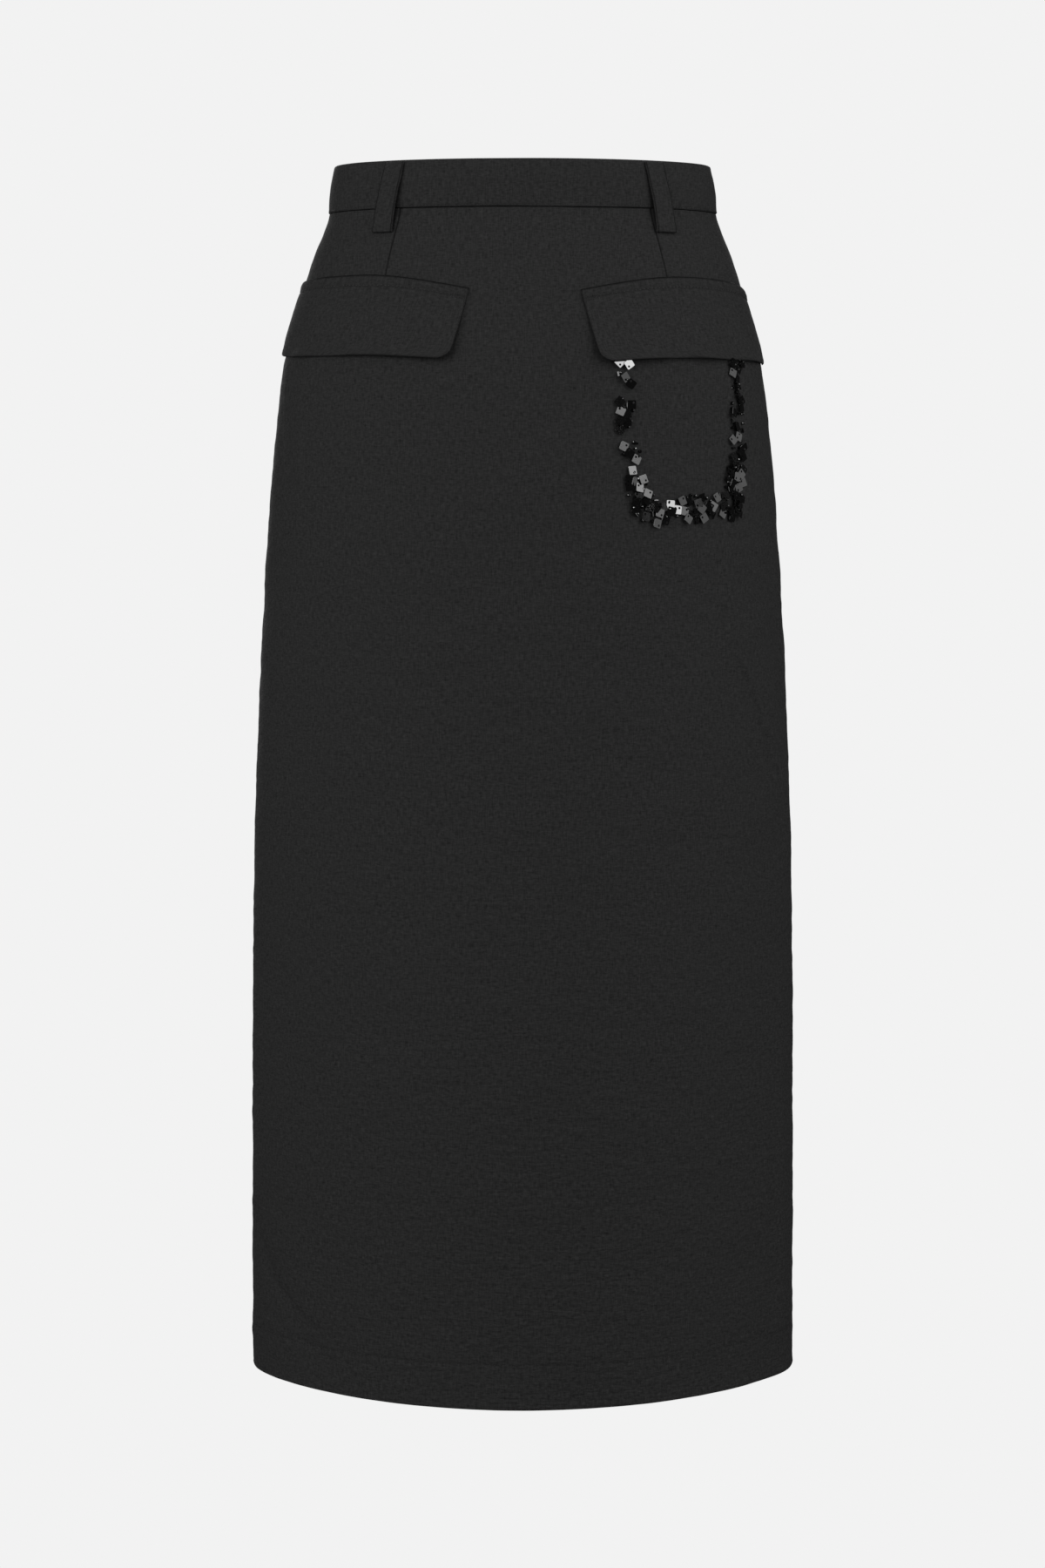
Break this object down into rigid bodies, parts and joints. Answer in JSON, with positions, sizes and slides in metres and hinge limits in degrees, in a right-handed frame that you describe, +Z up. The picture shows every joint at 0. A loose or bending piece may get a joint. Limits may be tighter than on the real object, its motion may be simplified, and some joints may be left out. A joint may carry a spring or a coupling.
{
  "type": "cargo utility skirt",
  "caption": "Straight black midi skirt with a waistband, belt loops, two hip pocket flaps and sequin trim, standing open and hollow as worn.",
  "frame": {"origin": "centre of the waist, level with the seam between the waistband and the skirt", "axes": "+Z up towards the waistband's top edge, -Y towards the front, +X to the right as the front is seen"},
  "size_m": [0.3682, 0.298, 0.8128],
  "materials": {
    "cloth": "matt black crepe-like woven cloth",
    "zip_tape": "flat black zip tape",
    "zip_metal": "black enamelled metal, satin",
    "thread": "black sewing thread with a slight sheen",
    "sequin": "high gloss black film sequin",
    "bead": "polished black bead"
  },
  "bodies": {
    "skirt": {"front_panel": "cloth", "back_panel_right": "cloth", "back_panel_left": "cloth", "waistband": "cloth", "flap_left": "cloth", "flap_right": "cloth", "belt_loop_front_left": "cloth", "belt_loop_front_right": "cloth", "belt_loop_back_right": "cloth", "belt_loop_back_left": "cloth", "zip_tape": "zip_tape", "zip_slider": "zip_metal"},
    "pull": {"zip_pull": "zip_metal"}
  },
  "joints": [
    {"name": "pull_swing", "type": "hinge", "parent": "skirt", "child": "pull", "pos_m": [0, 0.09345, 0.024], "axis": [1, 0, 0], "range_deg": [0, 150]}
  ]
}
